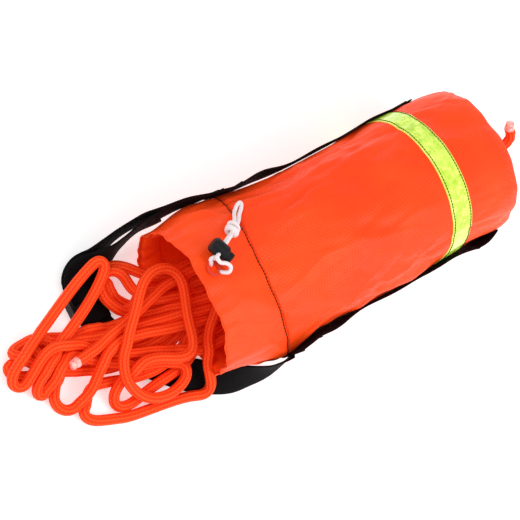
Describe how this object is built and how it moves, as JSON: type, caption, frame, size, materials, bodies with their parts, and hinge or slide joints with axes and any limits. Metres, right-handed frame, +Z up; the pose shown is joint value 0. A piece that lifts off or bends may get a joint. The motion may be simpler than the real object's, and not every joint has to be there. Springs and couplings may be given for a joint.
{
  "type": "throw rope bag",
  "caption": "Fabric throw bag lying on its side with a drawcord mouth, webbing handle, reflective band and floating rope spilling out.",
  "frame": {"origin": "centre of the bag's flat underside, midway between the mouth and the base", "axes": "+X along the bag from the mouth to the base, +Y to the bag's left side, +Z up from the surface it lies on"},
  "size_m": [0.4577, 0.1485, 0.1029],
  "materials": {
    "orange_fabric": "coated ripstop polyester, fluorescent orange, soft sheen",
    "black_webbing": "woven polypropylene webbing",
    "rope": "braided floating polypropylene rope, fluorescent orange",
    "reflective_tape": "prismatic retroreflective tape, lime yellow",
    "dark_thread": "sewing thread",
    "orange_thread": "bar-tacked sewing thread",
    "white_cord": "thin braided cord",
    "black_plastic": "moulded acetal",
    "spring_steel": "spring wire",
    "grommet_metal": "plated brass",
    "foam": "closed-cell foam",
    "end_seal": "heat-sealed rope end under clear tape"
  },
  "bodies": {
    "bag": {"body_panel": "orange_fabric", "collar_panel": "orange_fabric", "mouth_hem": "orange_fabric", "base_panel": "orange_fabric", "collar_seam_stitching": "dark_thread", "side_webbing_left": "black_webbing", "side_webbing_right": "black_webbing", "handle_strap": "black_webbing", "strap_tail": "black_webbing", "strap_bar_tacks": "dark_thread", "reflective_band": "reflective_tape", "band_stitching": "dark_thread", "drawcord_ring": "white_cord", "drawcord_tails": "white_cord", "drawcord_knot": "white_cord", "drawcord_end_loop": "white_cord", "cord_eyelet": "orange_thread", "base_grommet": "grommet_metal", "grommet_washer": "grommet_metal", "float_disc": "foam", "rope_coil": "rope", "rope_feed": "rope", "rope_heap": "rope", "rope_top_loop": "rope", "rope_long_loop": "rope", "rope_ring_loop": "rope", "rope_front_loop": "rope", "rope_side_strand": "rope", "rope_free_end": "rope", "rope_end_seal": "end_seal", "stopper_knot": "rope", "rope_tail": "rope", "tail_seal": "end_seal"},
    "cord_lock": {"cord_lock_barrel": "black_plastic", "cord_lock_spring": "spring_steel"},
    "lock_button": {"cord_lock_button": "black_plastic"},
    "strap_slider": {"strap_slider": "black_plastic"}
  },
  "joints": [
    {"name": "cord_lock_slide", "type": "slide", "parent": "bag", "child": "cord_lock", "axis": [0.8951, 0.4174, -0.1564], "range_m": [0, 0.008]},
    {"name": "lock_button_press", "type": "slide", "parent": "cord_lock", "child": "lock_button", "axis": [-0.4226, 0.9063, 0], "range_m": [0, 0.0024], "stiffness_N_per_m": 400, "springref_m": -0.003, "deforming": ["cord_lock_spring"]},
    {"name": "strap_slider_slide", "type": "slide", "parent": "bag", "child": "strap_slider", "axis": [0, 1, 0], "range_m": [-0.004, 0.001]}
  ]
}
